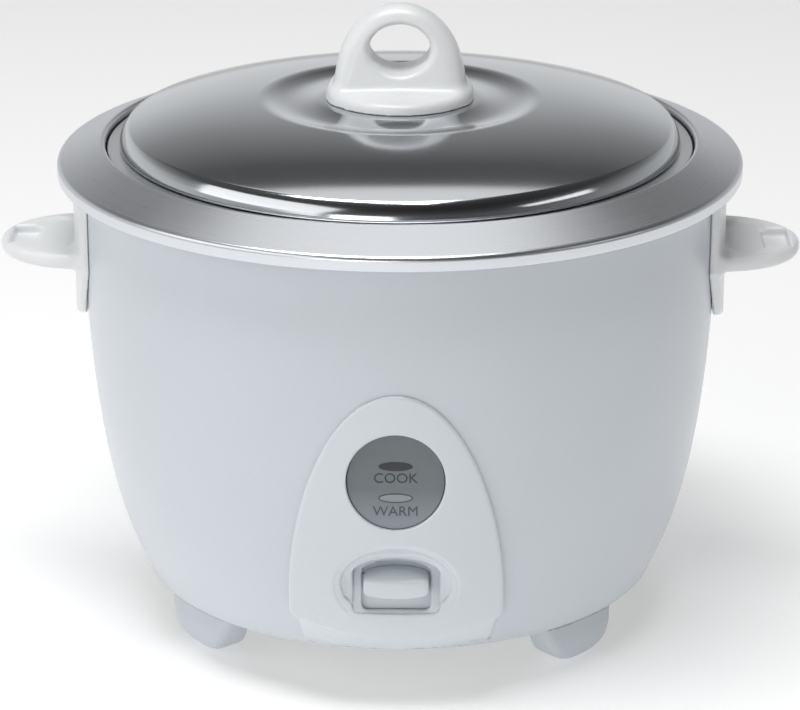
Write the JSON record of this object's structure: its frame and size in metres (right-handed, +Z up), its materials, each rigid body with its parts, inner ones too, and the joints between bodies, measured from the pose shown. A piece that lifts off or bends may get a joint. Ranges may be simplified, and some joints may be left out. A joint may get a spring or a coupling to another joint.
{
  "type": "rice cooker",
  "caption": "Electric rice cooker with a silver drum body, a steel lid, white handles and a lever switch under a round window.",
  "frame": {"origin": "on the surface that the cooker stands on, under the centre of the drum", "axes": "+Z up; -Y towards the user, where the control panel is; +X to the user's right, towards the right handle"},
  "size_m": [0.2824, 0.24, 0.2227],
  "materials": {
    "shell_silver": "satin",
    "satin_aluminium": "satin",
    "polished_steel": "polished",
    "pot_aluminium": "spun, matt",
    "cast_aluminium": "as cast, machined top",
    "plated_steel": "zinc plated",
    "spring_steel": "bright",
    "element_steel": "oxidised",
    "white_plastic": "semi-gloss",
    "panel_plastic": "satin",
    "foot_plastic": "satin",
    "black_plastic": "fine grain",
    "smoked_window": "smooth",
    "lamp_glass": "clear",
    "circuit_board": "plain",
    "ferrite": "ground",
    "ceramic_white": "unglazed",
    "brass_contact": "bright"
  },
  "bodies": {
    "housing": {"outer_shell": "shell_silver", "rim_collar": "satin_aluminium", "inner_liner": "plated_steel", "bottom_plate": "plated_steel", "foot_front_left": "foot_plastic", "foot_front_right": "foot_plastic", "foot_rear_left": "foot_plastic", "foot_rear_right": "foot_plastic", "front_panel": "panel_plastic", "indicator_window": "smoked_window", "lamp_holder": "circuit_board", "cook_lamp": "lamp_glass", "warm_lamp": "lamp_glass", "handle_left": "white_plastic", "handle_right": "white_plastic", "handle_screws": "plated_steel", "heating_plate": "cast_aluminium", "heating_element": "element_steel", "element_terminals": "plated_steel", "plate_spacers": "plated_steel", "plate_screws": "plated_steel", "thermostat_frame": "plated_steel", "cap_spring": "spring_steel", "lever_pin": "plated_steel", "lever_bracket": "plated_steel", "bracket_rivets": "plated_steel", "micro_switch": "black_plastic", "keep_warm_thermostat": "ceramic_white", "thermal_fuse": "brass_contact", "fuse_clip": "plated_steel", "power_inlet": "black_plastic", "inlet_pins": "brass_contact", "inlet_screws": "plated_steel", "bottom_screws": "plated_steel"},
    "sensor": {"sensor_cap": "cast_aluminium", "ferrite_core": "ferrite", "magnet_spring": "spring_steel"},
    "plunger": {"magnet": "ferrite", "magnet_rod": "plated_steel"},
    "lever": {"cook_paddle": "panel_plastic", "lever_arm": "plated_steel"},
    "pot": {"inner_pot": "pot_aluminium"},
    "lid": {"lid_dome": "polished_steel", "lid_knob": "white_plastic", "lid_washer": "plated_steel", "lid_screw": "plated_steel"}
  },
  "joints": [
    {"name": "cook_lever", "type": "hinge", "parent": "housing", "child": "lever", "pos_m": [0, -0.048, 0.044], "axis": [1, 0, 0], "range_deg": [0, 5.2], "stiffness_Nm_per_rad": 0.6, "springref_deg": -3.44},
    {"name": "magnet_lift", "type": "slide", "parent": "housing", "child": "plunger", "axis": [0, 0, 1], "range_m": [0, 0.0044], "stiffness_N_per_m": 0.05, "springref_m": 1.476, "deforming": ["magnet_spring"]},
    {"name": "sensor_press", "type": "slide", "parent": "housing", "child": "sensor", "axis": [0, 0, 1], "range_m": [-0.0015, 0], "stiffness_N_per_m": 400, "springref_m": 0.003, "deforming": ["cap_spring"]},
    {"name": "pot_lift", "type": "slide", "parent": "housing", "child": "pot", "axis": [0, 0, 1], "range_m": [0, 0.13]},
    {"name": "lid_lift", "type": "slide", "parent": "pot", "child": "lid", "axis": [0, 0, 1], "range_m": [0, 0.12]}
  ],
  "couplings": [
    {"joint": "magnet_lift", "follows": "cook_lever", "m_per_rad": 0.048}
  ]
}
